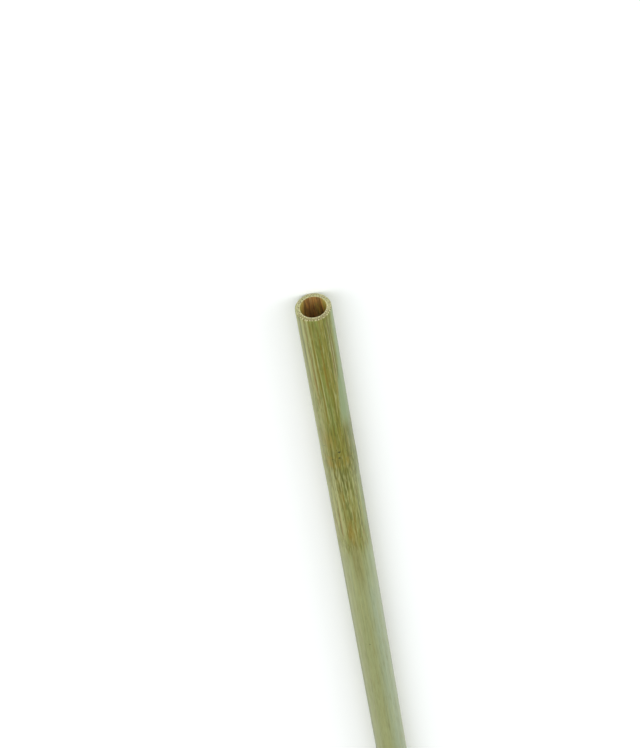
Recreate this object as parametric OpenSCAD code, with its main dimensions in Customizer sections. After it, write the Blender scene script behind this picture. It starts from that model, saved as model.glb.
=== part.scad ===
// A bamboo drinking straw: a thin culm, scraped along its length, sawn square and sanded at both ends.
// It lies on its side along X with its mouth at +X, and its lowest scraped flat touches Z = 0.
// One growth joint is left in it, with its inner wall drilled out.

/* [Culm] */
// Length from foot to mouth
straw_length = 200; // [140:1:260]
// Outside diameter at the mouth
mouth_d = 8; // [7.5:0.1:12]
// Outside diameter at the foot
foot_d = 7.8; // [7.5:0.1:12]

/* [Bore] */
// Diameter of the natural bore
bore_d = 5.8; // [4:0.1:5.8]
// How far the drilled joint still stands into the bore
ring_height = 0.3; // [0.1:0.05:0.8]
// Length of the hole drilled through the joint
ring_length = 2.4; // [1:0.1:5]
// Length over which the bore narrows to that hole, on each side
flare_length = 3; // [1:0.1:6]

/* [Joint] */
// Distance from the mouth to the joint
joint_from_mouth = 54; // [30:1:100]
// Height that the skin swells at the joint
swell_height = 0.08; // [0.02:0.01:0.3]
// Length of that swelling
swell_length = 14; // [8:0.5:20]

/* [Scraped skin] */
// Number of long flats that the scraping blade left
flat_count = 13; // [9:1:18]
// Depth of the deepest flats at their middle
flat_depth = 0.06; // [0.02:0.005:0.1]
// Share of that depth which the shallowest flats lack
flat_change = 0.5; // [0:0.05:0.6]
// Largest angle by which a flat strays from even spacing
flat_stray = 3; // [0:0.5:4]

/* [Sanded ends] */
// Radius of the outer edge
edge_r = 0.3; // [0.1:0.05:0.4]
// Radius of the bore's edge
bore_edge_r = 0.2; // [0.1:0.05:0.3]

/* [Hidden] */
$fn = 96;

bamboo = [0.67, 0.62, 0.38];
swell_steps = 12; // cones that make up the swelling
flare_steps = 5;  // cones that make up each flare of the bore
past_end = 1;     // how far the cutters run past the straw

half_length = straw_length / 2;
joint_x = half_length - joint_from_mouth;
blade_w = min(mouth_d, foot_d) / 2; // wider than any flat
// Radius that is clear of the skin everywhere
outside_r = max(mouth_d, foot_d) / 2 + swell_height + past_end;

// Smooth bump: 1 in the middle, fading to 0 at -1 and 1
function bump(t) = abs(t) < 1 ? (1 + cos(180 * t)) / 2 : 0;

// Radius of the skin at the distance x from the middle of the straw, between its flats
function skin_r(x) =
    (mouth_d + foot_d) / 4
    + (mouth_d - foot_d) / 4 * x / half_length
    + swell_height * bump((x - joint_x) / swell_length * 2);

// The skin from foot to mouth as points [radius, x], each lowered by the depth cut.
// A stagger of half a step puts the corners of a flat between those of the skin beside it.
function skin_line(cut, overrun, stagger) = [
    for (x = [
        -half_length - overrun,
        for (i = [-stagger:swell_steps + stagger]) joint_x + swell_length * (i / swell_steps - 0.5),
        half_length + overrun])
    [skin_r(x) - cut, x]];

// Direction and depth of flat k; flat 0 is the one that the straw lies on
function flat_angle(k) = 360 * k / flat_count + flat_stray * sin(137 * k);
function flat_cut(k) = flat_depth * (1 - flat_change * pow(sin(flat_angle(k)), 2));

// Height of the bore's axis above what the straw lies on
axis_height = max([for (p = skin_line(flat_cut(0), 0, 0.5)) p[0]]);

// What a round edge takes off a corner, from the round's centre outwards to +X and +Y
module round_off(r) {
    difference() {
        square(r + past_end);
        circle(r);
    }
}

// Half section of the culm, radius along X and length along Y
module culm_section() {
    difference() {
        polygon([[0, -half_length], each skin_line(0, 0, 0), [0, half_length]]);
        for (end = [-1, 1])
            translate([skin_r(end * (half_length - edge_r)) - edge_r, end * (half_length - edge_r)])
            scale([1, end])
            round_off(edge_r);
    }
}

// Points [radius, x] of the bore where it narrows beyond the drilled hole, from there outwards
function flare(end) = [for (i = [0:flare_steps])
    [bore_d / 2 - ring_height * bump(i / flare_steps),
     joint_x + end * (ring_length / 2 + flare_length * i / flare_steps)]];

function reversed(list) = [for (i = [len(list) - 1:-1:0]) list[i]];

// Half section of the bore, with its rounded edges
module bore_section() {
    last = half_length + past_end;
    polygon([[0, -last], [bore_d / 2, -last],
        each reversed(flare(-1)), each flare(1),
        [bore_d / 2, last], [0, last]]);
    for (end = [-1, 1])
        translate([bore_d / 2 + bore_edge_r, end * (half_length - bore_edge_r)])
        scale([-1, end])
        round_off(bore_edge_r);
}

// What the blade takes off the skin for one flat, cut deep, on the side that faces +X
module scraping(cut) {
    last = half_length + past_end;
    rotate([90, 0, 0])
    linear_extrude(blade_w, center = true)
    polygon([each skin_line(cut, past_end, 0.5), [outside_r, last], [outside_r, -last]]);
}

module bamboo_straw() {
    color(bamboo)
    translate([0, 0, axis_height])
    rotate([0, 90, 0])
    difference() {
        rotate_extrude() culm_section();
        for (k = [0:flat_count - 1])
            rotate(flat_angle(k))
            scraping(flat_cut(k));
        rotate_extrude() bore_section();
    }
}

bamboo_straw();
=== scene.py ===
import math

import bpy
import numpy as np
from mathutils import Matrix, Vector


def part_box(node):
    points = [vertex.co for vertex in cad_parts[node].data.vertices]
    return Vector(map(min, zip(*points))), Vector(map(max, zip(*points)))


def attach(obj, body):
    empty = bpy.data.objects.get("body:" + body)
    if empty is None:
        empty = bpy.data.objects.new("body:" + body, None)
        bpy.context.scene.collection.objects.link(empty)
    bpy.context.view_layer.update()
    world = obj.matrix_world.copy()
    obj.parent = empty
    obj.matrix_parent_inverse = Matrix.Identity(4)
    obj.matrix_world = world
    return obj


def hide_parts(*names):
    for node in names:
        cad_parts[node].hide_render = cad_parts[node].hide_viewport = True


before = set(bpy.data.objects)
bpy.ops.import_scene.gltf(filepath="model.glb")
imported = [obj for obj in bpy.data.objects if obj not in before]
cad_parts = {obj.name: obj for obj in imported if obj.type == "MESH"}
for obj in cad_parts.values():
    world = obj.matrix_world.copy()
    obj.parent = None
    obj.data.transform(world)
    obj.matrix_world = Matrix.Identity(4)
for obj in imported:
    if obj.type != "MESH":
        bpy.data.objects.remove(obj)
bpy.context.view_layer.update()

MM = 0.001
TURN = 2 * math.pi
QUARTER = math.pi / 2
# Angles round the straw start at the bottom and run up its +Y side to the top
TOP = math.pi

MARKS_SEED = 11
FINE_DASH_SEED = 5
rng = np.random.default_rng(MARKS_SEED)

# The straw's own sizes, in mm but for the flats' count, change of depth and stray
MOUTH_D = 8.0
FOOT_D = 7.8
BORE_D = 5.8
JOINT_FROM_MOUTH = 54.0
SWELL_HEIGHT = 0.08
SWELL_LENGTH = 14.0
RING_HEIGHT = 0.3
RING_LENGTH = 2.4
FLARE_LENGTH = 3.0
FLAT_COUNT = 13
FLAT_DEPTH = 0.06
FLAT_CHANGE = 0.5
FLAT_STRAY = math.radians(3)
# The stray of each flat is a sine that moves on by this angle
FLAT_STRAY_STEP = math.radians(137)
EDGE_R = 0.3
BORE_EDGE_R = 0.2

LOW, HIGH = (np.array(corner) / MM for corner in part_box("bamboo_straw"))
HALF_LENGTH = (HIGH[0] - LOW[0]) / 2
JOINT_X = HALF_LENGTH - JOINT_FROM_MOUTH
SKIN_R = MOUTH_D / 2
BORE_R = BORE_D / 2
# An angle from a flat's middle that no flat reaches, in radians
FLAT_REACH = 0.5

# Fineness of the mesh: counts, then steps and reaches in mm
AROUND = 352
EDGE_STEPS = 5
FACE_STEPS = 9
SKIN_STEP = 1.6
JOINT_STEP = 0.45
JOINT_REACH = 14.0
BORE_STEP = 6.0
BORE_FINE_STEP = 0.8
BORE_FINE_REACH = 10.0

# How lines wander: the waves' count and level, their lengths in mm, and the sway in degrees
WAVE_COUNT = 3
WAVE_LEVEL = 0.6
STREAK_WAVES = (25, 80)
STREAK_SWAY = 0.8
BAND_WAVES = (50, 150)
BAND_SWAY = 4
RIDGE_WAVES = (40, 160)
# The sway of a ridge is in radians of its own wave
RIDGE_SWAY = 1.5

# Relief in mm. Ridges are given by the fewest and the most round the straw, and by their layers
SKIN_RIDGES = [(0.006, 30, 70, 14), (0.004, 70, 120, 10)]
BORE_RIDGE_HEIGHT = 0.03
BORE_RIDGES = (17, 34, 8)
EDGE_RIDGE_HEIGHT = 0.045
EDGE_RIDGES = (40, 56, 4)
EDGE_DROP = 0.045
STREAK_DEPTH = 0.010
DASH_DEPTH = 0.030
DASH_SUNK_FROM = 0.5
CAP_HEIGHT = 0.035
VESSEL_DEPTH = 0.03
FACE_DROP = 0.035
# The share of the way over an edge from which it counts as part of the sawn face
FACE_FROM = 0.6

# Streaks on the upper side: angle in degrees from the top towards -Y at the low and at the high end,
# X of the low and of the high end and width in mm, and strength. Those that run over the mouth end past it.
BROWN_STREAKS = [
    (-34, -41, 73, 106, 0.42, 1.0),
    (-19, -25, 74, 106, 0.30, 0.9),
    (5, -1, 73, 97, 0.40, 1.0),
    (-18, -18, 60, 73, 0.34, 0.7),
    (-25, -31, 58, 73, 0.40, 0.4),
    (31, 35, 76, 88, 0.22, 0.6),
    (36.5, 36.5, 79, 104, 0.30, 0.9),
    (45, 45, 79, 98, 0.28, 0.7),
    (-8, -4, 54, 64, 0.30, 0.7),
    (-22, -22, 31, 39, 0.30, 0.7),
    (-12, -12, 30, 40, 0.34, 0.9),
    (-39, -38, 18, 33, 0.40, 1.0),
    (-17, -18, 24, 33, 0.30, 0.7),
    (-10, -2, 18, 27, 0.90, 0.6),
    (12, 14, 18, 31, 0.32, 0.8),
]
OLIVE_STREAKS = [
    (-46, -51, 60, 74, 0.80, 0.45),
    (-54, -62, 78, 106, 0.80, 0.7),
    (-35, -41, 74, 106, 0.30, 0.6),
    (12, 12, 60, 80, 0.28, 0.7),
    (-3, -4, 56, 75, 0.28, 0.65),
    (26, 23, 74, 104, 0.32, 0.8),
    (36.5, 36.5, 80, 104, 0.44, 1.0),
    (45, 45, 78, 98, 0.42, 1.0),
    (1, 1, 90, 98, 0.34, 0.6),
    (-26, -25, 48, 62, 0.30, 0.8),
    (-12, -12, 54, 62, 0.30, 0.7),
    (19, 17, 50, 66, 0.30, 0.7),
    (30, 31, 50, 62, 0.50, 0.9),
    (-8, -8, 44, 50, 0.26, 0.8),
    (4, 4, 43, 51, 0.26, 0.9),
    (16, 16, 43, 50, 0.24, 0.7),
    (32, 32, 44, 52, 0.26, 0.7),
    (-19, -19, 37, 42, 0.26, 0.6),
    (-4, -4, 36, 44, 0.26, 0.9),
    (11, 10, 37, 44, 0.26, 0.8),
    (21, 20, 36, 44, 0.24, 0.8),
    (0, 0, 24, 36, 0.30, 1.0),
    (38, 38, 21, 36, 0.40, 1.0),
    (28, 28, 19, 31, 0.28, 0.9),
    (-41, -40, 18, 33, 0.40, 0.8),
    (13, 13, 2, 14, 0.30, 0.3),
]
PALE_STREAKS = [
    (-27, -32, 74, 106, 0.46, 0.6),
    (-47, -50, 78, 106, 0.80, 0.65),
    # Painted highlight along the +Y edge
    (-75, -75, 14, 106, 0.80, 0.5),
    (-11, -17, 62, 92, 0.26, 0.6),
    (18, 16, 74, 92, 0.30, 0.4),
    (32, 32, 80, 98, 0.20, 0.5),
    (40, 40, 79, 92, 0.24, 0.8),
    (3, 2, 62, 74, 0.28, 0.4),
    (21, 21, 68, 75, 0.50, 0.4),
    (-18, -17, 42, 48, 0.34, 0.7),
    (-12, -12, 43, 47, 0.26, 0.6),
    # Painted light over the shading step between two flats
    (-24, -24, -6, 14, 0.90, 0.4),
    (-19, -18, 46, 57, 0.40, 0.5),
    (-34, -34, 40, 46, 0.40, 0.6),
    (24, 24, 42, 48, 0.30, 0.6),
    (0, 0, 44, 49, 0.24, 0.5),
    (-15, -14, 37, 44, 0.32, 0.7),
    (2, 2, 37, 44, 0.30, 0.7),
    (16, 16, 37, 44, 0.26, 0.7),
    (30, 29, 32, 44, 0.44, 0.6),
    (-32, -31, 20, 46, 0.44, 0.75),
    (50, 50, 20, 42, 0.90, 0.45),
    (4, 4, 32, 38, 0.24, 0.5),
    (16, 16, 32, 38, 0.28, 0.6),
    (-50, -49, 20, 38, 0.70, 0.6),
    (8, 8, 25, 32, 0.28, 0.6),
    (20, 20, 19, 32, 0.28, 0.5),
    (32, 32, 20, 32, 0.26, 0.4),
    (-28, -28, 18, 33, 0.36, 0.6),
]
# A streak fades over this length, or over a third of its own if that is less
STREAK_FADE = 5.0

# Random streaks: colour, count, and the ranges of the widths in mm and of the strengths.
# The back ones keep within a spread in degrees from the bottom, and the fibres lie all round.
BOTTOM_DEGREES = 180
BACK_SPREAD = 105
BACK_STREAKS = [
    ("brown", 26, (0.2, 0.45), (0.4, 1)),
    ("olive", 40, (0.2, 0.5), (0.4, 1)),
    ("pale", 30, (0.2, 0.6), (0.3, 0.8)),
]
ALL_ROUND = 180
FIBRE_COUNT = 80
FIBRES = [
    ("olive", (0.12, 0.22), (0.1, 0.45)),
    ("pale", (0.12, 0.26), (0.1, 0.45)),
    ("brown", (0.12, 0.2), (0.05, 0.2)),
]
# Their lengths and how far past the foot they may start in mm, and how much they turn in degrees
RANDOM_STREAK_LENGTHS = (8, 50)
RANDOM_STREAK_PAST_END = 10
RANDOM_STREAK_TURN = 3

# Broad bands along the culm: strength, then middle, reach and soft border in degrees from the top
# towards -Y, then low and high X and fade in mm. Where a row ends early, the band runs on past the end.
BEYOND = 200
BAND_FADE = 12.0
# Pale bands, partly pale wax and partly painted light: they lighten the +Y side, which faces the stronger
# lamp, and the rows near -31 degrees lighten the shading step between two flats
PALE_WAX_AND_PAINTED_LIGHT_BANDS = [
    (0.9, -50, 16, 8, 12, 66),
    (0.65, -50, 16, 8, 66),
    (0.9, -32, 8, 6, 14, 46),
    (0.5, -31, 8, 5, 60),
    (0.6, 0, 36, 14, 16, 45, 3),
    (0.5, 46, 14, 8, 14, 46),
    (0.5, -22, 20, 8, 37, 45, 2),
    (0.5, 42, 16, 6, 36, 46, 2),
    (0.3, -70, 16, 8, 12),
    (0.8, 150, 40, 14),
]
# Cool bands, partly wax and partly a painted reflection of the pale room on the skin
COOL_WAX_AND_REFLECTION_BANDS = [
    (0.6, 69, 22, 8, 16, 44, 6),
    (0.3, 72, 22, 10, 42, 66),
    (0.4, 60, 32, 16, 2, 14, 4),
    (0.5, -84, 10, 6),
    (0.6, -140, 22, 12),
]
# The main cool band, partly wax and partly painted reflection: its near border in degrees at some X,
# its far border, how soft they are, its fade in mm, and the degrees between which it fades out down the side
COOL_EDGE_X = (62, 73, 83, 100)
COOL_EDGE_DEGREES = (24, 33, 51, 57)
COOL_FAR_DEGREES = 110
COOL_SOFT = 5
COOL_FADE = 4
COOL_SIDE_DEGREES = (76, 106)
DULL_BANDS = [
    (1.0, 0, 100, 16, -BEYOND, 13, 5),
]
# Painted shade, in the olive of the streaks: it darkens both edges where they would catch much light, a few
# bands on the upper side, and the lower sides
PAINTED_EDGE_SHADE_BANDS = [
    (0.75, -76, 13, 9, -BEYOND, 14),
    (0.35, -62, 8, 6, 14),
    (0.2, -58, 5, 4, 82),
    (0.3, 80, 12, 8),
    (0.6, 79, 11, 8, 14),
    (0.3, 62, 20, 8, 43, 62, 4),
    (0.55, 44, 14, 6, 50, 61, 3),
    (0.22, 31, 8, 4, 80, BEYOND, 3),
    (0.4, -38, 6, 5, 47, 62, 3),
    (0.15, -40, 12, 10, -BEYOND, -2),
    (0.15, 62, 22, 12, -BEYOND, 0),
]
DULL_OLIVE_BANDS = [
    (1.0, -2, 16, 4, 0, 18, 6),
    (0.2, -1, 6, 6, -60, 0, 20),
]
# Grey-green bands low on the -Y side, partly wax and partly painted reflection
BLOOM_AND_REFLECTION_BANDS = [
    (1.0, 54, 40, 16, -BEYOND, 0, 8),
    (0.5, 70, 26, 14, 0, 14, 5),
]
JOINT_BANDS = [
    (0.75, 2, 38, 8, 46, 56, 2),
    (0.5, -42, 8, 5, 46.5, 54, 1.5),
    (0.6, 10, 30, 10, 56, 61, 2),
]
# The grain coarsens between these X, down the straw, and it loses these shares where the skin is dull or
# under the cool band of wax and painted reflection
BELOW_JOINT = (48, 60)
DULL_LOSS = 0.75
COOL_LOSS = 0.85

# Dark dots, most of them by the joint: degrees from the top towards -Y, X and radius in mm
DOTS = [
    (1, 52.6, 0.32),
    (-1.5, 50.5, 0.26),
    (-8, 53.4, 0.12),
    (-24, 49.9, 0.16),
    (-50, 54.2, 0.14),
    (40, 49.3, 0.14),
    (26, 52.4, 0.12),
    (-11, -26.6, 0.16),
]
# Stained patches by the joint and further along: degrees, X, reach along and across in mm, strength
PATCHES = [
    (-9, 48.4, 1.8, 0.5, 0.9),
    (-42, 48.0, 1.6, 0.9, 0.5),
    (12, 48.6, 1.8, 0.3, 0.4),
    (24, 48.4, 1.6, 0.3, 0.7),
    (-26, 47.6, 1.2, 0.4, 0.7),
    (-36, 57.0, 3.0, 1.1, 0.5),
    (-36, 48.8, 1.4, 0.6, 0.4),
    (-32, 50.3, 0.35, 1.3, 0.7),
    (34, 49.8, 0.35, 0.9, 0.7),
    (-20, 57.0, 3.0, 0.5, 0.5),
    (-38, 24.5, 4.0, 0.3, 0.7),
    (-6, 21.0, 4.0, 0.9, 0.8),
    (-16, 38.0, 5.0, 0.3, 0.5),
    (0, 81.0, 6.0, 0.25, 0.7),
    (-37, 78.0, 7.0, 0.25, 0.7),
]
# Dark dashes on both sides of the joint: degrees, X, reach along and across in mm, strength
DASHES = [
    (-28, 44.0, 1.2, 0.12, 1.0),
    (-27, 46.8, 0.9, 0.11, 0.9),
    (-8, 44.5, 0.9, 0.12, 0.9),
    (-5, 42.8, 1.2, 0.11, 1.0),
    (4, 44.2, 1.0, 0.12, 1.0),
    (12, 44.0, 1.1, 0.12, 0.6),
    (18, 41.8, 1.2, 0.11, 1.0),
    (-2, 41.2, 1.0, 0.11, 0.9),
    (-43, 42.9, 1.2, 0.10, 0.5),
    (42, 46.2, 0.7, 0.12, 0.8),
    (48, 47.2, 0.6, 0.11, 0.6),
    (35, 45.6, 0.8, 0.12, 0.9),
    (28, 47.2, 0.8, 0.12, 0.8),
    (24, 44.8, 0.9, 0.11, 0.7),
    (-15, 48.9, 1.0, 0.11, 0.7),
    (32, 59.8, 1.2, 0.13, 0.9),
    (22, 56.5, 1.3, 0.13, 0.7),
    (-15, 59.3, 1.2, 0.12, 0.8),
    (-20, 60.9, 1.0, 0.12, 0.7),
    (38, 49.8, 0.6, 0.11, 0.8),
    (50, 45.0, 0.6, 0.10, 0.6),
    (31, 42.6, 0.9, 0.11, 0.8),
    (-35, 40.4, 1.2, 0.10, 0.6),
    (8, 39.0, 1.3, 0.11, 0.8),
    (-12, 57.0, 1.1, 0.12, 0.7),
    (44, 51.5, 0.6, 0.10, 0.6),
    (-33, 46.0, 0.8, 0.10, 0.6),
    (-20, 46.2, 0.7, 0.10, 0.6),
]

# Random dashes all round the joint: how far they lie from it, on average and at random, and ranges
DASH_COUNT = 110
DASH_OFFSET = -1
DASH_DEVIATION = 5.5
DASH_LENGTHS = (0.4, 1.6)
DASH_WIDTHS = (0.08, 0.15)
DASH_STRENGTHS = (0.3, 1)

# Fine dashes in staggered rows over the joint's upper side: places in degrees and in mm from the joint
FINE_DASH_ROWS = 7
FINE_DASHES_IN_ROW = 13
FINE_DASH_FIRST = -34
FINE_DASH_SPACING = 7.2
FINE_DASH_STRAY = 1.3
FINE_ROW_FIRST = 4
FINE_ROW_SPACING = 2.0
FINE_ROW_STAGGER = 0.5
FINE_ROW_STRAY = 0.7
FINE_DASH_LENGTHS = (0.6, 1.2)
FINE_DASH_WIDTHS = (0.10, 0.13)
FINE_DASH_STRENGTHS = (0.3, 1.1)
FINE_DASH_SLANT = 0.05

# Vascular bundles in the sawn ends, crowded small ones outside, fewer and larger ones further in:
# share of the wall from the skin inwards, count, stray and size in mm, and darkness of the vessel
BUNDLE_ROWS = [
    (0.14, 50, 0.04, 0.10, 0.6),
    (0.42, 40, 0.06, 0.15, 1.0),
    (0.70, 36, 0.05, 0.15, 1.2),
]
BUNDLE_STRAY = 0.3
BUNDLE_SCALES = (0.7, 1.2)
VESSEL_STRENGTHS = (0.5, 1.2)
# The cap of pale fibres outside each vessel, in reaches of the vessel
CAP_WIDTH = 1.5
CAP_LENGTH = 1.2
CAP_OUTWARDS = 1.3
# The worn upper part of the mouth's face, and the radii in mm between which the wear begins
WORN_DEPTH = 3
WORN_BAND = (1.0, 0, 62, 22, HALF_LENGTH - WORN_DEPTH, BEYOND, 1)
WORN_RADII = (3.0, 3.55)
WORN_CAP_LOSS = 0.6
# The caps are weaker outside these radii, and there is a pale ring by the bore
OUTER_RADII = (3.25, 3.6)
OUTER_CAP_LOSS = 0.4
PALE_RING_R = 3.08
PALE_RING_REACH = 0.12
PALE_RING_STRENGTH = 0.6
# Fibres that stand out at the upper part of both edges of the sawn face, with dark gaps between them:
# radius and reach in mm, and darkness of the gaps
BEAD_COUNT = 40
BEAD_SPACING = TURN / BEAD_COUNT
BEAD_ROWS = [(3.10, 0.18, 0.5), (3.84, 0.15, 1.3)]
BEAD_BAND = (1.0, 8, 80, 30)
BEAD_STRAY = 0.2
BEAD_STRENGTHS = (0.5, 1.3)
GAP_WIDTH = 0.8
GAP_STRENGTHS = (0.4, 1.2)

# Lines in the bore near the mouth: degrees from the bottom towards -Y at the shallow and at the deep end,
# the depths of those ends and the width in mm, and strength
BORE_DARK = [
    (31, 46, -1, 7, 0.24, 1.0),
    (-40, -44, 2.0, 9, 0.60, 0.6),
    (-6, -6, 2.2, 9, 0.40, 0.2),
    (-36, -38, 0.4, 3.0, 0.26, 0.8),
    (-22, -22, 0, 2.2, 0.20, 0.6),
    (2, 2, 0, 2.2, 0.18, 0.6),
    (10, 10, 0.4, 2.6, 0.18, 0.6),
    (-14, -14, 0.2, 2.0, 0.18, 0.6),
    (56, 56, 1, 5, 0.24, 0.5),
]
BORE_BRIGHT = [
    (38, 53, -1, 8, 0.30, 1.0),
    (6, 6, -1, 2.4, 0.22, 0.7),
    (-10, -10, -1, 1.8, 0.22, 0.6),
    (15, 17, -1, 3.0, 0.22, 0.7),
    (-18, -18, -1, 1.6, 0.22, 0.6),
    (-28, -28, -1, 1.6, 0.30, 0.5),
    (-52, -56, 1.0, 6, 0.50, 0.6),
    (-2, -2, -1, 2.0, 0.2, 0.5),
]
# Pale olive bands in the bore near the mouth: painted light where the bore is shaded
BORE_PALE_AND_LIGHT = [
    (16, 28, 2, 8, 0.90, 0.6),
    (62, 62, -1, 11, 2.0, 0.8),
    (-58, -60, -1, 10, 1.8, 0.6),
]
BORE_FADE_IN = 0.6
BORE_FADE_OUT = 2.0
# Depths in mm between which the olive lip of the bore, partly painted light, fades out, and how sharply it
# keeps to the sides
LIP_FULL = 1.0
LIP_DEPTH = 10.0
LIP_POWER = 4


def bump(t):
    """1 in the middle, fading smoothly to 0 at -1 and 1."""
    return (1 + np.cos(np.pi * np.clip(t, -1, 1))) / 2


def smoothstep(low, high, t):
    """0 up to low, rising smoothly to 1 at high."""
    t = np.clip((t - low) / (high - low), 0, 1)
    return t * t * (3 - 2 * t)


def turn_apart(theta, angle):
    """Signed angle from angle to theta, between half a turn each way."""
    return (theta - angle + math.pi) % TURN - math.pi


def waves(low, high):
    """A smooth random function of x in mm, from about -1 to 1, with wavelengths from low to high."""
    lengths = rng.uniform(low, high, WAVE_COUNT)
    phases = rng.uniform(0, TURN, WAVE_COUNT)
    share = math.sqrt(2 / WAVE_COUNT) * WAVE_LEVEL
    return lambda x: sum(share * np.sin(TURN * x / length + phase) for length, phase in zip(lengths, phases))


def round_r(x):
    """Radius of the round culm at x."""
    taper = (MOUTH_D - FOOT_D) / 4 * x / HALF_LENGTH
    return (MOUTH_D + FOOT_D) / 4 + taper + SWELL_HEIGHT * bump((x - JOINT_X) / SWELL_LENGTH * 2)


def flat_cut(angle):
    """Depth of the flat at an angle."""
    return FLAT_DEPTH * (1 - FLAT_CHANGE * math.sin(angle) ** 2)


def scraped(theta, radius):
    """How much the blade's flats take off a round skin of this radius."""
    taken = np.zeros(np.broadcast(theta, radius).shape)
    for k in range(FLAT_COUNT):
        angle = TURN * k / FLAT_COUNT + FLAT_STRAY * math.sin(FLAT_STRAY_STEP * k)
        off = turn_apart(theta, angle)
        flat_r = (radius - flat_cut(angle)) / np.cos(np.clip(off, -FLAT_REACH, FLAT_REACH))
        taken = np.maximum(taken, radius - flat_r)
    return taken


def bore_r(x):
    """Radius of the bore at x."""
    past_ring = (np.abs(x - JOINT_X) - RING_LENGTH / 2) / FLARE_LENGTH
    return BORE_R - RING_HEIGHT * bump(np.maximum(past_ring, 0))


AXIS_HEIGHT = float(round_r(JOINT_X)) - flat_cut(0)


def steps(low, high, step):
    """Evenly spaced values from low to high, without high itself."""
    return np.linspace(low, high, max(1, math.ceil((high - low) / step)), endpoint=False)


def skin_stations():
    """X of the rings along the skin, from the foot to the mouth."""
    end = HALF_LENGTH - EDGE_R
    return np.concatenate([
        steps(-end, JOINT_X - JOINT_REACH, SKIN_STEP),
        steps(JOINT_X - JOINT_REACH, JOINT_X + JOINT_REACH, JOINT_STEP),
        steps(JOINT_X + JOINT_REACH, end, SKIN_STEP),
        [end]])


def bore_stations():
    """X of the rings along the bore, from the mouth to the foot."""
    end = HALF_LENGTH - BORE_EDGE_R
    ring_reach = RING_LENGTH / 2 + FLARE_LENGTH
    forwards = np.concatenate([
        steps(-end, BORE_FINE_REACH - end, BORE_FINE_STEP),
        steps(BORE_FINE_REACH - end, JOINT_X - ring_reach, BORE_STEP),
        steps(JOINT_X - ring_reach, JOINT_X + ring_reach, BORE_FINE_STEP),
        steps(JOINT_X + ring_reach, end - BORE_FINE_REACH, BORE_STEP),
        steps(end - BORE_FINE_REACH, end, BORE_FINE_STEP),
        [end]])
    return forwards[::-1]


class Culm:
    """The straw's surface as rings that run out along the skin, over the mouth and back through the bore."""

    def __init__(self):
        self.theta = np.arange(AROUND) * TURN / AROUND
        self.rings = []
        for x in skin_stations():
            self.add(x, self.skin_r(x), 0, 0)
        self.add_end(1)
        for x in bore_stations():
            self.add(x, bore_r(x), 0, 1)
        self.add_end(-1)
        self.x, self.r, self.sawn, self.inside = np.stack(self.rings, 1)

    def add(self, x, r, sawn, inside):
        """One ring: its place, its radius, and how far it belongs to the sawn face and to the bore."""
        whole = np.ones(AROUND)
        self.rings.append(np.stack([x * whole, r * whole, sawn * whole, inside * whole]))

    def skin_r(self, x):
        """Radius of the scraped skin at x, for each angle."""
        radius = round_r(x)
        return radius - scraped(self.theta, radius)

    def add_end(self, end):
        """The outer edge, the sawn face and the bore's edge of one end: 1 for the mouth, -1 for the foot."""
        outer = self.skin_r(end * (HALF_LENGTH - EDGE_R)) - EDGE_R
        inner = BORE_R + BORE_EDGE_R
        rings = []
        for share in np.linspace(0, 1, EDGE_STEPS + 1)[1:]:
            x = HALF_LENGTH - EDGE_R * (1 - math.sin(share * QUARTER))
            rings.append((x, outer + EDGE_R * math.cos(share * QUARTER), share, 0))
        for share in np.linspace(0, 1, FACE_STEPS + 1)[1:]:
            rings.append((HALF_LENGTH, outer + (inner - outer) * share, 1, 0))
        for share in np.linspace(0, 1, EDGE_STEPS + 1)[1:-1]:
            x = HALF_LENGTH - BORE_EDGE_R * (1 - math.cos(share * QUARTER))
            rings.append((x, inner - BORE_EDGE_R * math.sin(share * QUARTER), 1 - share, share))
        # At the foot the rings come out of the bore, so they run the other way
        for x, r, sawn, inside in rings[::end]:
            self.add(end * x, r, sawn, inside)


culm = Culm()
X = culm.x
THETA = culm.theta[None, :] * np.ones_like(X)
# How far each point belongs to the skin and to the sawn face
SKIN = (1 - culm.inside) * (1 - culm.sawn)
FACE = smoothstep(FACE_FROM, 1, culm.sawn)


def across(angle, radius=SKIN_R):
    """Distance in mm round the culm from an angle."""
    return turn_apart(THETA, angle) * radius


def oval(aside, wide, ahead, long):
    """A soft oval, from 1 in its middle, for the distances from its middle and its reach each way."""
    return np.exp(-(aside / wide) ** 2 - (ahead / long) ** 2)


def stretch(low, high, fade):
    """1 between two X, fading out over both."""
    return smoothstep(low - fade, low + fade, X) * (1 - smoothstep(high - fade, high + fade, X))


def fluted(x, fewest, most, layers):
    """Long ridges round the culm, from about -1 to 1, that change slowly along it."""
    total = np.zeros_like(x)
    for _ in range(layers):
        number = rng.integers(fewest, most)
        phase = rng.uniform(0, TURN)
        sway = waves(*RIDGE_WAVES)
        total += np.sin(number * THETA + phase + RIDGE_SWAY * sway(x))
    return total / math.sqrt(layers)


def streak(first, last, low, high, width, strength):
    """A line along the culm that fades out at both ends."""
    sway = waves(*STREAK_WAVES)
    share = np.clip((X - low) / (high - low), 0, 1)
    angle = TOP + np.radians(first + (last - first) * share + STREAK_SWAY * sway(X))
    fade = min(STREAK_FADE, (high - low) / 3)
    return strength * stretch(low, high, fade) * np.exp(-(across(angle) / (width / 2)) ** 2)


def random_streak(spread, widths, strengths):
    """A streak at a random place, within a spread in degrees from the bottom."""
    width = rng.uniform(*widths)
    strength = rng.uniform(*strengths)
    first = BOTTOM_DEGREES + rng.uniform(-spread, spread)
    low = rng.uniform(-HALF_LENGTH - RANDOM_STREAK_PAST_END, HALF_LENGTH - RANDOM_STREAK_PAST_END)
    high = low + rng.uniform(*RANDOM_STREAK_LENGTHS)
    last = first + rng.normal(0, RANDOM_STREAK_TURN)
    return streak(first, last, low, high, width, strength)


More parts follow.
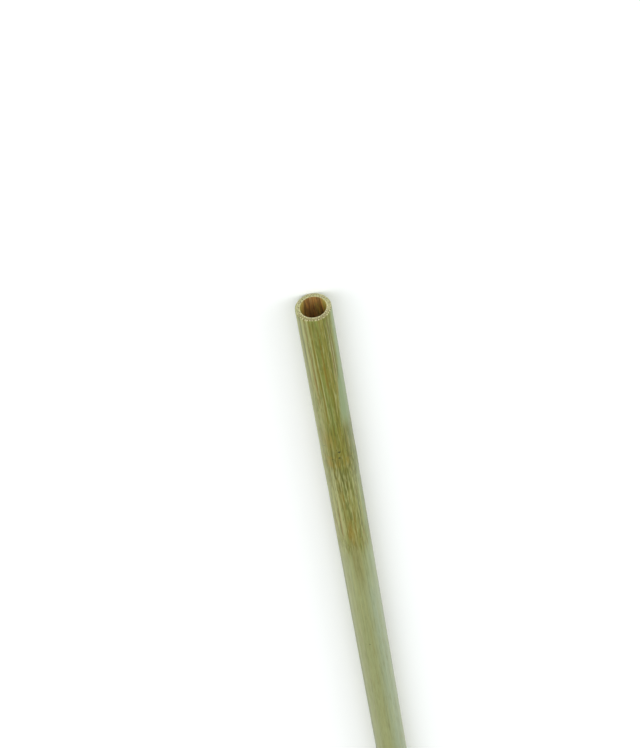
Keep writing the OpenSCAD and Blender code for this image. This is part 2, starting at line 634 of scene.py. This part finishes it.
def band(strength, middle, reach, soft, low=-BEYOND, high=BEYOND, fade=BAND_FADE):
    """A broad band along the culm with soft borders."""
    sway = waves(*BAND_WAVES)
    off = np.abs(np.degrees(turn_apart(THETA, TOP + np.radians(middle + BAND_SWAY * sway(X)))))
    return strength * stretch(low, high, fade) * (1 - smoothstep(reach - soft, reach + soft, off))


def spot(degrees, x, long, wide, strength, slant=0.0):
    """A soft oval on the skin. Its slant is in mm across for each mm towards the mouth."""
    ahead = X - x
    return strength * oval(across(TOP + math.radians(degrees)) - slant * ahead, wide, ahead, long)


def bore_streak(first, last, shallow, deep, width, strength):
    """A line in the bore near the mouth."""
    depth = HALF_LENGTH - X
    degrees = first + (last - first) * np.clip((depth - shallow) / (deep - shallow), 0, 1)
    along = smoothstep(shallow - BORE_FADE_IN, shallow + BORE_FADE_IN, depth)
    along *= 1 - smoothstep(deep - BORE_FADE_OUT, deep + BORE_FADE_OUT, depth)
    line = np.exp(-(across(-np.radians(degrees), BORE_R) / (width / 2)) ** 2)
    return strength * culm.inside * along * line


def summed(mark, rows):
    """The sum of the marks of one kind that the rows describe, made in their order."""
    return sum(mark(*row) for row in rows)


# Streaks and fibres
lines = {
    "brown": summed(streak, BROWN_STREAKS),
    "olive": summed(streak, OLIVE_STREAKS),
    "pale": summed(streak, PALE_STREAKS),
}
for name, count, widths, strengths in BACK_STREAKS:
    for _ in range(count):
        lines[name] += random_streak(BACK_SPREAD, widths, strengths)
for _ in range(FIBRE_COUNT):
    for name, widths, strengths in FIBRES:
        lines[name] += random_streak(ALL_ROUND, widths, strengths)

# Bands along the skin: a pale side, partly wax and partly painted light; a cool side and a grey-green
# patch low on the -Y side, partly wax and partly painted reflection; painted shade along the edges; and the
# duller skin of the lower half
pale_wax_and_painted_light = summed(band, PALE_WAX_AND_PAINTED_LIGHT_BANDS)
cool_edge = np.interp(X, COOL_EDGE_X, COOL_EDGE_DEGREES)
cool_middle = (COOL_FAR_DEGREES + cool_edge) / 2
cool_reach = (COOL_FAR_DEGREES - cool_edge) / 2
from_top = np.degrees(turn_apart(THETA, TOP))
# A cool band down the -Y side, partly wax and partly painted reflection, fading out before the bottom
cool_wax_and_reflection = band(1.0, cool_middle, cool_reach, COOL_SOFT, COOL_EDGE_X[0], BEYOND, COOL_FADE)
cool_wax_and_reflection *= 1 - smoothstep(*COOL_SIDE_DEGREES, from_top)
cool_wax_and_reflection += summed(band, COOL_WAX_AND_REFLECTION_BANDS)
dull = summed(band, DULL_BANDS)
# Painted shade along the edges and on a few bands
painted_edge_shade = summed(band, PAINTED_EDGE_SHADE_BANDS)
dull_band = summed(band, DULL_OLIVE_BANDS)
# Grey-green wax with painted reflection low on the -Y side
bloom_and_reflection = summed(band, BLOOM_AND_REFLECTION_BANDS)
joint_band = summed(band, JOINT_BANDS)
below = 1 - smoothstep(*BELOW_JOINT, X)
grainy = (1 - DULL_LOSS * dull) * (1 - COOL_LOSS * np.clip(cool_wax_and_reflection, 0, 1))

# Dashes and stains where the joint was scraped flush
dash = np.zeros_like(X)
for _ in range(DASH_COUNT):
    middle = JOINT_X + rng.normal(DASH_OFFSET, DASH_DEVIATION)
    length = rng.uniform(*DASH_LENGTHS)
    width = rng.uniform(*DASH_WIDTHS)
    strength = rng.uniform(*DASH_STRENGTHS)
    dash += strength * oval(across(rng.uniform(0, TURN)), width, X - middle, length)
dash += summed(spot, DASHES)
joint_rng = np.random.default_rng(FINE_DASH_SEED)
for row in range(FINE_DASH_ROWS):
    for column in range(FINE_DASHES_IN_ROW):
        degrees = FINE_DASH_FIRST + FINE_DASH_SPACING * (column + FINE_ROW_STAGGER * (row % 2))
        degrees += joint_rng.normal(0, FINE_DASH_STRAY)
        middle = JOINT_X + FINE_ROW_FIRST - FINE_ROW_SPACING * row
        middle += joint_rng.uniform(-FINE_ROW_STRAY, FINE_ROW_STRAY)
        length = joint_rng.uniform(*FINE_DASH_LENGTHS)
        width = joint_rng.uniform(*FINE_DASH_WIDTHS)
        strength = joint_rng.uniform(*FINE_DASH_STRENGTHS)
        dash += spot(degrees, middle, length, width, strength, FINE_DASH_SLANT)
tan = summed(spot, PATCHES)

# Vessels and caps of fibres in the sawn ends
vessel = np.zeros_like(X)
cap = np.zeros_like(X)
for share, number, stray, size, dark in BUNDLE_ROWS:
    radius = SKIN_R + (BORE_R - SKIN_R) * share
    for k in range(number):
        angle = (k + rng.uniform(-BUNDLE_STRAY, BUNDLE_STRAY)) * TURN / number
        aside = across(angle, radius)
        out = culm.r - radius - rng.uniform(-stray, stray)
        reach = size * rng.uniform(*BUNDLE_SCALES)
        vessel += dark * rng.uniform(*VESSEL_STRENGTHS) * oval(aside, reach, out, reach)
        cap += oval(aside, CAP_WIDTH * reach, out - CAP_OUTWARDS * reach, CAP_LENGTH * reach)
worn = culm.sawn * band(*WORN_BAND) * smoothstep(*WORN_RADII, culm.r)
cap *= (1 - WORN_CAP_LOSS * worn) * (1 - OUTER_CAP_LOSS * smoothstep(*OUTER_RADII, culm.r))
cap += PALE_RING_STRENGTH * np.exp(-((culm.r - PALE_RING_R) / PALE_RING_REACH) ** 2)
upper = band(*BEAD_BAND)
for radius, reach, gap_dark in BEAD_ROWS:
    out = culm.r - radius
    for k in range(BEAD_COUNT):
        angle = (k + rng.uniform(-BEAD_STRAY, BEAD_STRAY)) * BEAD_SPACING
        bead = oval(across(angle, radius), reach, out, reach)
        gap = oval(across(angle + BEAD_SPACING / 2, radius), GAP_WIDTH * reach, out, reach)
        cap += rng.uniform(*BEAD_STRENGTHS) * bead * upper
        vessel += rng.uniform(*GAP_STRENGTHS) * gap_dark * gap * upper

# Lines in the bore, and olive lips near the mouth that are partly painted light
dash += summed(bore_streak, BORE_DARK)
tan += summed(bore_streak, BORE_BRIGHT)
lip = smoothstep(HALF_LENGTH - LIP_DEPTH, HALF_LENGTH - LIP_FULL, np.abs(X))
lip *= culm.inside * np.sin(THETA) ** LIP_POWER
# The pale bands add painted light to the lips
lip += summed(bore_streak, BORE_PALE_AND_LIGHT)

# Relief of the skin, the bore, the outer edges and the sawn faces
relief = sum(height * fluted(X, *ridges) for height, *ridges in SKIN_RIDGES)
relief -= STREAK_DEPTH * np.clip(lines["brown"] + lines["olive"], 0, 1)
relief -= DASH_DEPTH * np.clip(dash - DASH_SUNK_FROM, 0, 1)
bore_relief = BORE_RIDGE_HEIGHT * fluted(X, *BORE_RIDGES)
edge_relief = EDGE_RIDGE_HEIGHT * np.clip(fluted(np.zeros_like(X), *EDGE_RIDGES), -1, 1)
face_relief = CAP_HEIGHT * np.clip(cap, 0, 1) - VESSEL_DEPTH * np.clip(vessel, 0, 1) - FACE_DROP
edge = culm.sawn * (1 - FACE)
relief = SKIN * relief - culm.inside * bore_relief
relief += edge * ((1 - culm.inside) * edge_relief - EDGE_DROP)
R = culm.r + relief

# The rings close on themselves, so the mesh is one torus of quads, and none of it is below the floor
ring_count = len(X)
points = np.stack([
    (X + np.sign(X) * FACE * face_relief) * MM,
    R * np.sin(THETA) * MM,
    (AXIS_HEIGHT - R * np.cos(THETA)) * MM], -1).reshape(-1, 3)
points[:, 2] = np.maximum(points[:, 2], 0)
i, j = np.meshgrid(np.arange(ring_count), np.arange(AROUND), indexing="ij")
next_i, next_j = (i + 1) % ring_count, (j + 1) % AROUND
quads = np.stack([i * AROUND + j, i * AROUND + next_j, next_i * AROUND + next_j, next_i * AROUND + j], -1)
mesh = bpy.data.meshes.new("culm")
mesh.from_pydata(points.tolist(), [], quads.reshape(-1, 4).tolist())
marks = {
    "pale_wax_and_painted_light": pale_wax_and_painted_light,
    "cool_wax_and_reflection": cool_wax_and_reflection,
    "dull": dull,
    "dull_band": dull_band,
    "bloom_and_reflection": bloom_and_reflection,
    "painted_edge_shade": painted_edge_shade,
    "worn": worn,
    "below": below,
    "grainy": grainy,
    "joint_band": joint_band,
    "brown": lines["brown"],
    "olive": lines["olive"],
    "pale": lines["pale"],
    "dash": dash,
    "tan": tan,
    "vessel": vessel,
    "cap": cap,
    "lip": lip,
    "sawn": culm.sawn,
    "inside": culm.inside,
}
for name, values in marks.items():
    values = np.clip(values, 0, 1).astype(np.float32)
    mesh.attributes.new(name, "FLOAT", "POINT").data.foreach_set("value", values.reshape(-1))
mesh.polygons.foreach_set("use_smooth", np.ones(len(mesh.polygons), bool))
mesh.update()


def add_object(name, data):
    """A new object in the scene."""
    thing = bpy.data.objects.new(name, data)
    bpy.context.scene.collection.objects.link(thing)
    return thing


straw = add_object("culm", mesh)


def srgb(red, green, blue):
    """Linear colour from sRGB values of 0 to 255."""
    def linear(value):
        value /= 255
        return value / 12.92 if value <= 0.04045 else ((value + 0.055) / 1.055) ** 2.4
    return (linear(red), linear(green), linear(blue), 1)


SKIN_OLIVE = srgb(127, 123, 46)
SKIN_GREEN = srgb(120, 128, 56)
# Pale tint of wax, also used as painted light on the +Y side
PALE_WAX_AND_PAINTED_LIGHT = srgb(142, 144, 82)
# Cool tint, partly wax and partly painted reflection
COOL_WAX_AND_REFLECTION = srgb(127, 143, 101)
DULL = srgb(148, 153, 106)
DULL_OLIVE = srgb(132, 130, 76)
# Grey-green tint, partly wax and partly painted reflection
BLOOM_AND_REFLECTION = srgb(152, 168, 150)
STREAK_BROWN = srgb(117, 96, 0)
STREAK_OLIVE = srgb(80, 84, 0)
STREAK_PALE = srgb(172, 172, 116)
FIBRE_ROSE = srgb(160, 150, 102)
JOINT_TAN = srgb(146, 122, 40)
JOINT_OLIVE = srgb(124, 118, 30)
DASH_DARK = srgb(82, 82, 0)
DOT_DARK = srgb(56, 58, 14)
GRAIN_CREAM = srgb(168, 168, 120)
GRAIN_GREEN = srgb(144, 150, 98)
GRAIN_WORN = srgb(124, 112, 42)
VESSEL_DARK = srgb(78, 56, 26)
CAP_CREAM = srgb(220, 212, 166)
BORE_TAN = srgb(182, 146, 90)
BORE_BROWN = srgb(146, 104, 60)
BORE_ORANGE = srgb(206, 154, 82)
BORE_DEEP = srgb(100, 68, 32)
# Olive of the bore's lips, partly painted light
BORE_OLIVE = srgb(184, 168, 84)

# Tints from the first coat to the last: the mesh's mark, the share of the tint where it is full, and the tint
SKIN_TINTS = [
    # The pale tint below is partly wax and partly painted light
    ("pale_wax_and_painted_light", 0.9, PALE_WAX_AND_PAINTED_LIGHT),
    ("dull", 0.9, DULL),
    ("dull_band", 0.8, DULL_OLIVE),
    # The olive tint below is painted shade
    ("painted_edge_shade", 0.75, STREAK_OLIVE),
    # The cool tint below is partly wax and partly painted reflection
    ("cool_wax_and_reflection", 0.85, COOL_WAX_AND_REFLECTION),
    # The grey-green tint below is partly wax and partly painted reflection
    ("bloom_and_reflection", 0.4, BLOOM_AND_REFLECTION),
    ("joint_band", 0.7, JOINT_OLIVE),
]
STAIN_TINTS = [("tan", 0.75, JOINT_TAN)]
DASH_TINTS = [("dash", 0.7, DASH_DARK)]
# The lip tint is partly painted light
BORE_TINTS = [("lip", 1.0, BORE_OLIVE), ("tan", 0.9, BORE_ORANGE), ("dash", 0.8, BORE_DEEP)]
GRAIN_TINTS = [("worn", 0.7, GRAIN_WORN), ("cap", 0.85, CAP_CREAM), ("vessel", 0.9, VESSEL_DARK)]

# Noise patterns: features per mm along and across the straw, offset and detail. The offset shifts each axis.
NOISE_SHIFT = (1, 1.7, -1)
NOISE_MEAN = 0.5
BROAD_NOISE = (0.02, 0.7, 9.0, 2.0)
FINE_NOISE = (0.04, 3.8, 3.0, 4.0)
BROKEN_NOISE = (0.45, 2.6, 17.0, 3.0)
GRAIN_NOISE = (1.0, 6.0, 5.0, 3.0)
RAGGED_NOISE = (0.3, 2.4, 7.0, 2.0)
BORE_RIDGE_NOISE = (0.06, 1.6, 13.0, 3.0)
BORE_DASH_NOISE = (0.30, 2.5, 27.0, 2.0)
# Grain of the skin: where it lies, the noise, the ramp's two ends and its top, and the tint
SKIN_GRAIN = [
    ("above", (0.12, 2.2, 33.0, 2.0), (0.55, 0.62, 0.24), FIBRE_ROSE),
    ("above", (0.24, 3.0, 21.0, 2.0), (0.56, 0.62, 0.28), STREAK_PALE),
    ("above", (0.28, 3.2, 41.0, 2.0), (0.43, 0.38, 0.36), STREAK_OLIVE),
    ("above", (0.26, 3.4, 61.0, 2.0), (0.57, 0.62, 0.42), STREAK_BROWN),
    ("below", (0.20, 2.4, 91.0, 2.0), (0.56, 0.62, 0.45), STREAK_PALE),
    ("below", (0.17, 2.6, 14.0, 2.0), (0.57, 0.62, 0.60), STREAK_BROWN),
    ("below", (0.24, 2.9, 28.0, 2.0), (0.43, 0.38, 0.55), STREAK_OLIVE),
    ("everywhere", (0.24, 3.6, 71.0, 2.0), (0.45, 0.37, 0.35), STREAK_OLIVE),
]
# The share of the upper grain that is missing below the joint
ABOVE_LOSS = 0.6

# Ramps: the values at the two ends, and the top where it isn't 1
BROAD_RAMP = (0.36, 0.64)
BROKEN_RAMP = (0.30, 0.47)
FINE_PALE_RAMP = (0.54, 0.64, 0.2)
FINE_OLIVE_RAMP = (0.46, 0.36, 0.15)
PALE_RAMP = (0.15, 0.75, 0.65)
OLIVE_RAMP = (0.2, 0.8, 0.60)
BROWN_RAMP = (0.2, 0.8, 0.75)
BORE_RIDGE_RAMP = (0.38, 0.62)
BORE_BRIGHT_RAMP = (0.54, 0.62, 0.7)
BORE_DARK_RAMP = (0.44, 0.36, 0.3)
GRAIN_RAMP = (0.35, 0.7)
INSIDE_RAMP = (0.3, 0.9)
SAWN_RAMP = (0.25, 0.60)
ROUGH_RAMP = (0.3, 0.7)
# A dot fades from one to the other, in shares of its radius
DOT_FADE = (1.3, 0.7)
DOT_TOP = 0.9

SKIN_ROUGHNESS = (0.32, 0.44)
BORE_ROUGHNESS = 0.6
SAWN_ROUGHNESS = 0.7
BAMBOO_IOR = 1.42
# Bumps: distance in mm and strength
FINE_BUMP = (0.03, 0.7)
GRAIN_BUMP = (0.02, 0.3)
# Places of the two inputs and the output of a mix node, by what it mixes
MIX_SOCKETS = {"FLOAT": (2, 3, 0), "RGBA": (6, 7, 2)}


class Nodes:
    """Short calls that add shader nodes to a material and link them."""

    def __init__(self, name):
        self.material = bpy.data.materials.new(name)
        self.material.use_nodes = True
        self.tree = self.material.node_tree
        self.shader = self.tree.nodes["Principled BSDF"]

    def link(self, value, socket):
        """Link a node's output to a socket, or set the socket to a plain value."""
        if hasattr(value, "is_output"):
            self.tree.links.new(value, socket)
        else:
            socket.default_value = value

    def attribute(self, name):
        node = self.tree.nodes.new("ShaderNodeAttribute")
        node.attribute_name = name
        return node.outputs["Fac"]

    def place(self):
        """The point's own coordinates, in m."""
        return self.tree.nodes.new("ShaderNodeTexCoord").outputs["Object"]

    def math(self, operation, a, b):
        node = self.tree.nodes.new("ShaderNodeMath")
        node.operation = operation
        self.link(a, node.inputs[0])
        self.link(b, node.inputs[1])
        return node.outputs[0]

    def scaled(self, value, factor):
        return self.math("MULTIPLY", value, factor)

    def mix(self, factor, a, b, kind="RGBA"):
        """Mix of two colours, or of two plain values if the kind is FLOAT."""
        node = self.tree.nodes.new("ShaderNodeMix")
        node.data_type = kind
        a_index, b_index, out_index = MIX_SOCKETS[kind]
        self.link(factor, node.inputs[0])
        self.link(a, node.inputs[a_index])
        self.link(b, node.inputs[b_index])
        return node.outputs[out_index]

    def tinted(self, colour, tints):
        """The colour with tints laid over it where the mesh has their marks."""
        for mark, strength, tint in tints:
            colour = self.mix(self.scaled(self.attribute(mark), strength), colour, tint)
        return colour

    def ramp(self, value, low, high, top=1.0):
        """0 where the value is at low or before it, rising smoothly to top at high."""
        node = self.tree.nodes.new("ShaderNodeMapRange")
        node.interpolation_type = "SMOOTHSTEP"
        self.link(value, node.inputs["Value"])
        node.inputs["From Min"].default_value = low
        node.inputs["From Max"].default_value = high
        node.inputs["To Max"].default_value = top
        return node.outputs["Result"]

    def noise(self, along, aside, offset, detail):
        """Noise with features of 1/along mm along the straw and 1/aside mm across it."""
        mapping = self.tree.nodes.new("ShaderNodeMapping")
        mapping.inputs["Scale"].default_value = (along / MM, aside / MM, aside / MM)
        mapping.inputs["Location"].default_value = [offset * shift for shift in NOISE_SHIFT]
        self.link(self.place(), mapping.inputs["Vector"])
        texture = self.tree.nodes.new("ShaderNodeTexNoise")
        texture.inputs["Scale"].default_value = 1.0
        texture.inputs["Detail"].default_value = detail
        self.link(mapping.outputs["Vector"], texture.inputs["Vector"])
        return texture.outputs["Fac"]

    def dot(self, middle, radius):
        """A dark dot with a radius in mm round a point in m, fading out just outside it."""
        away = self.tree.nodes.new("ShaderNodeVectorMath")
        away.operation = "DISTANCE"
        away.inputs[1].default_value = middle
        self.link(self.place(), away.inputs[0])
        clear, full = (radius * MM * share for share in DOT_FADE)
        return self.ramp(away.outputs["Value"], clear, full, DOT_TOP)

    def bump(self, height, distance, strength, normal=None):
        node = self.tree.nodes.new("ShaderNodeBump")
        node.inputs["Strength"].default_value = strength
        node.inputs["Distance"].default_value = distance * MM
        self.link(height, node.inputs["Height"])
        if normal is not None:
            self.link(normal, node.inputs["Normal"])
        return node.outputs["Normal"]


def on_skin(degrees, x):
    """The point of the skin at an angle from the top towards -Y, in metres."""
    angle = math.radians(degrees)
    radius = float(round_r(x)) - FLAT_DEPTH / 2
    return (x * MM, -radius * math.sin(angle) * MM, (AXIS_HEIGHT + radius * math.cos(angle)) * MM)


def skin_colour(n, fine):
    """The streaked and stained skin, over the fine noise that the bumps share."""
    everywhere = n.attribute("grainy")
    below = n.math("MULTIPLY", everywhere, n.attribute("below"))
    above = n.math("SUBTRACT", everywhere, n.scaled(below, ABOVE_LOSS))
    where = {"above": above, "below": below, "everywhere": everywhere}
    broken = n.ramp(n.noise(*BROKEN_NOISE), *BROKEN_RAMP)

    colour = n.mix(n.ramp(n.noise(*BROAD_NOISE), *BROAD_RAMP), SKIN_OLIVE, SKIN_GREEN)
    colour = n.tinted(colour, SKIN_TINTS)
    for region, noise, ramp, tint in SKIN_GRAIN:
        colour = n.mix(n.scaled(where[region], n.ramp(n.noise(*noise), *ramp)), colour, tint)
    colour = n.mix(n.ramp(fine, *FINE_PALE_RAMP), colour, STREAK_PALE)
    colour = n.mix(n.ramp(fine, *FINE_OLIVE_RAMP), colour, STREAK_OLIVE)
    colour = n.tinted(colour, STAIN_TINTS)
    colour = n.mix(n.ramp(n.attribute("pale"), *PALE_RAMP), colour, STREAK_PALE)
    for mark, ramp, tint in (("olive", OLIVE_RAMP, STREAK_OLIVE), ("brown", BROWN_RAMP, STREAK_BROWN)):
        colour = n.mix(n.scaled(n.ramp(n.attribute(mark), *ramp), broken), colour, tint)
    colour = n.tinted(colour, DASH_TINTS)
    for degrees, x, radius in DOTS:
        colour = n.mix(n.dot(on_skin(degrees, x), radius), colour, DOT_DARK)
    return colour


def bore_colour(n):
    """The tan bore with its brown ridges, and its marks near the mouth."""
    dashes = n.noise(*BORE_DASH_NOISE)
    colour = n.mix(n.ramp(n.noise(*BORE_RIDGE_NOISE), *BORE_RIDGE_RAMP), BORE_BROWN, BORE_TAN)
    colour = n.mix(n.ramp(dashes, *BORE_BRIGHT_RAMP), colour, BORE_ORANGE)
    colour = n.mix(n.ramp(dashes, *BORE_DARK_RAMP), colour, BORE_DEEP)
    return n.tinted(colour, BORE_TINTS)


def grain_colour(n, grain):
    """The sawn ends, with their vessels and caps."""
    colour = n.mix(n.ramp(grain, *GRAIN_RAMP), GRAIN_GREEN, GRAIN_CREAM)
    return n.tinted(colour, GRAIN_TINTS)


def bamboo_material():
    """The material of the whole straw: its skin, its bore and its sawn ends."""
    n = Nodes("bamboo")
    inside = n.ramp(n.attribute("inside"), *INSIDE_RAMP)
    fine = n.noise(*FINE_NOISE)
    grain = n.noise(*GRAIN_NOISE)
    ragged = n.math("SUBTRACT", n.noise(*RAGGED_NOISE), NOISE_MEAN)
    sawn = n.ramp(n.math("ADD", n.attribute("sawn"), ragged), *SAWN_RAMP)

    colour = n.mix(inside, skin_colour(n, fine), bore_colour(n))
    colour = n.mix(sawn, colour, grain_colour(n, grain))
    rough = n.mix(n.ramp(fine, *ROUGH_RAMP), *SKIN_ROUGHNESS, "FLOAT")
    rough = n.mix(inside, rough, BORE_ROUGHNESS, "FLOAT")
    rough = n.mix(sawn, rough, SAWN_ROUGHNESS, "FLOAT")
    normal = n.bump(grain, *GRAIN_BUMP, n.bump(fine, *FINE_BUMP))
    n.link(colour, n.shader.inputs["Base Color"])
    n.link(rough, n.shader.inputs["Roughness"])
    n.link(BAMBOO_IOR, n.shader.inputs["IOR"])
    n.link(normal, n.shader.inputs["Normal"])
    return n.material


straw.data.materials.append(bamboo_material())
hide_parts("bamboo_straw")
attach(straw, "root")

# The floor
FLOOR_HALF = 4.0
FLOOR_CORNERS = [(-1, -1), (1, -1), (1, 1), (-1, 1)]
PAPER = {
    "Base Color": (0.93, 0.93, 0.93, 1),
    "Roughness": 0.9,
    "Specular IOR Level": 0.1,
    "Emission Color": (1, 1, 1, 1),
    "Emission Strength": 0.08,
}
floor_mesh = bpy.data.meshes.new("floor")
floor_mesh.from_pydata([(x * FLOOR_HALF, y * FLOOR_HALF, 0) for x, y in FLOOR_CORNERS], [], [(0, 1, 2, 3)])
floor = add_object("floor", floor_mesh)
paper = Nodes("paper")
for name, value in PAPER.items():
    paper.shader.inputs[name].default_value = value
floor.data.materials.append(paper.material)

# A pale room that is dimmer beyond the straw's foot. The dimming is given by how near a direction is to that
# one, and by the room's strength there.
ROOM_COLOUR = (0.97, 1.0, 1.0, 1)
BACK = (-0.78, 0.0, 0.62)
DIMMING = {"From Min": 0.42, "From Max": 0.95, "To Min": 1.2, "To Max": 0.4}
world = bpy.data.worlds.new("room")
bpy.context.scene.world = world
world.use_nodes = True
background = world.node_tree.nodes["Background"]
background.inputs["Color"].default_value = ROOM_COLOUR
direction = world.node_tree.nodes.new("ShaderNodeTexCoord")
towards_back = world.node_tree.nodes.new("ShaderNodeVectorMath")
towards_back.operation = "DOT_PRODUCT"
towards_back.inputs[1].default_value = BACK
dimming = world.node_tree.nodes.new("ShaderNodeMapRange")
dimming.interpolation_type = "SMOOTHSTEP"
for name, value in DIMMING.items():
    dimming.inputs[name].default_value = value
world.node_tree.links.new(direction.outputs["Generated"], towards_back.inputs[0])
world.node_tree.links.new(towards_back.outputs["Value"], dimming.inputs["Value"])
world.node_tree.links.new(dimming.outputs["Result"], background.inputs["Strength"])


def looking(place, aim, roll=0.0):
    """Matrix of a light or a camera that looks from a place at an aim."""
    place = Vector(place)
    turn = (Vector(aim) - place).to_track_quat("-Z", "Y").to_matrix().to_4x4()
    return Matrix.Translation(place) @ turn @ Matrix.Rotation(roll, 4, "Z")


# Two large soft lights, aimed at the straw: name, place and size in m, power in W, and colour
LIGHTS = [
    ("left_light", (0.3, 0.8, 0.8), (1.2, 1.2), 3.1, (1.0, 1.0, 0.97)),
    ("right_light", (0.1, -1.0, 0.4), (1.2, 0.8), 2.4, (0.93, 1.0, 1.0)),
]
LIGHT_AIM = (0, 0, 0)
for name, place, size, power, colour in LIGHTS:
    light = bpy.data.lights.new(name, "AREA")
    light.color = colour
    light.shape = "RECTANGLE"
    light.size, light.size_y = size
    light.energy = power
    add_object(name, light).matrix_world = looking(place, LIGHT_AIM)

# Camera: it looks down the straw at the photo's angle to its axis, with the mouth up in the picture
CAMERA_PLACE = (0.6293, 0.0, 0.4457)
CAMERA_AIM = (0.0768, 0.0011, 0.0040)
CAMERA_ROLL = math.radians(170.0)
CAMERA_NEAR = 0.01
PICTURE_HEIGHT_PX = 748
FOCAL_PX = 3200
SENSOR_MM = 36.0
camera_data = bpy.data.cameras.new("camera")
camera_data.sensor_width = SENSOR_MM
camera_data.lens = FOCAL_PX / PICTURE_HEIGHT_PX * SENSOR_MM
camera_data.clip_start = CAMERA_NEAR
camera = add_object("camera", camera_data)
camera.matrix_world = looking(CAMERA_PLACE, CAMERA_AIM, CAMERA_ROLL)
bpy.context.scene.camera = camera
bpy.context.scene.view_settings.view_transform = "Standard"
